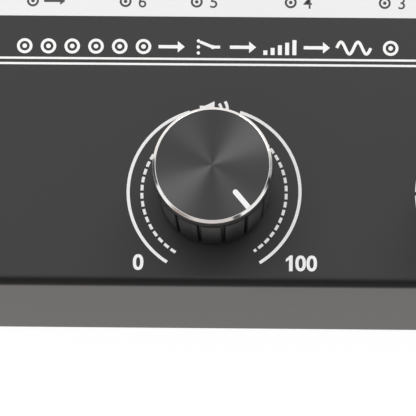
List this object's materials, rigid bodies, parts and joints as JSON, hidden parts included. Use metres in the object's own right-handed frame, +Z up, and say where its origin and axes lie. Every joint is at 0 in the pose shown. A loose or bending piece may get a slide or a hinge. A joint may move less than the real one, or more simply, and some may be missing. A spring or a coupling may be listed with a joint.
{
  "type": "audio source selector",
  "caption": "Low sheet-metal audio source selector with ribbed, bevel-capped volume and source knobs on top and stacked phono sockets along the rear wall.",
  "frame": {"origin": "middle of the footprint, sockets included, at the underside of the feet", "axes": "+X to the right along the case's length, +Y to the rear, where the sockets are, +Z up"},
  "size_m": [0.156, 0.075, 0.0678],
  "materials": {
    "black_anodised": "spun black anodised aluminium with a bright cut bevel",
    "black_coat": "satin black powder coat on steel",
    "black_resin": "moulded black resin",
    "black_screw": "black zinc plated steel",
    "board_green": "green solder mask on glass laminate",
    "bright_nickel": "bright nickel plate on brass",
    "brown_laminate": "phenolic paper laminate",
    "carbon_ink": "printed carbon",
    "cast_plate": "bright zinc die casting",
    "contact_bronze": "spring bronze",
    "knob_black": "glossy black moulding",
    "lead_grey": "grey PVC insulation over copper strands",
    "plated_steel": "nickel plated steel",
    "rubber": "soft black rubber",
    "shaft_alloy": "turned aluminium",
    "socket_red": "red moulding",
    "socket_white": "white moulding",
    "tinned_contact": "tinned brass strip",
    "white_resin": "moulded natural resin"
  },
  "bodies": {
    "case": {"aux_jack_body": "black_resin", "aux_jack_contacts": "tinned_contact", "aux_jack_leads": "lead_grey", "aux_jack_nose": "bright_nickel", "aux_jack_nut": "bright_nickel", "base_plate": "black_coat", "base_screws": "black_screw", "circuit_board": "board_green", "input_1_jacks": "black_resin", "input_2_jacks": "black_resin", "input_3_jacks": "black_resin", "input_4_jacks": "black_resin", "input_5_jacks": "black_resin", "jack_centre_contacts": "contact_bronze", "jack_ground_straps": "tinned_contact", "jack_screws": "black_screw", "jack_sleeves": "bright_nickel", "lower_insulators": "socket_red", "output_jacks": "black_resin", "rubber_feet": "rubber", "selector_bushing": "cast_plate", "selector_detent_housing": "black_resin", "selector_fixed_contacts": "tinned_contact", "selector_leads": "lead_grey", "selector_lock_washer": "plated_steel", "selector_nut": "plated_steel", "selector_rear_cover": "black_resin", "selector_spacers": "black_resin", "selector_wafers": "brown_laminate", "upper_insulators": "socket_white", "upper_shell": "black_coat", "volume_bushing": "cast_plate", "volume_housings": "black_resin", "volume_leads": "lead_grey", "volume_lock_washer": "plated_steel", "volume_nut": "plated_steel", "volume_rear_cover": "plated_steel", "volume_terminals": "tinned_contact", "volume_track_boards": "brown_laminate", "volume_tracks": "carbon_ink"},
    "volume_knob": {"volume_shaft": "shaft_alloy", "volume_retaining_ring": "plated_steel", "volume_rotors": "white_resin", "volume_wipers": "contact_bronze", "volume_knob_body": "knob_black", "volume_knob_cap": "black_anodised"},
    "source_knob": {"selector_shaft": "shaft_alloy", "selector_retaining_ring": "plated_steel", "selector_detent_rotor": "white_resin", "selector_detent_balls": "plated_steel", "selector_detent_springs": "plated_steel", "selector_rotors": "white_resin", "selector_moving_contacts": "contact_bronze", "selector_knob_body": "knob_black", "selector_knob_cap": "black_anodised"}
  },
  "joints": [
    {"name": "volume_turn", "type": "hinge", "parent": "case", "child": "volume_knob", "pos_m": [-0.0295, -0.018, 0.0445], "axis": [0, 0, -1], "range_deg": [-290, 10]},
    {"name": "source_turn", "type": "hinge", "parent": "case", "child": "source_knob", "pos_m": [0.0295, -0.018, 0.0445], "axis": [0, 0, -1], "range_deg": [0, 225]}
  ]
}
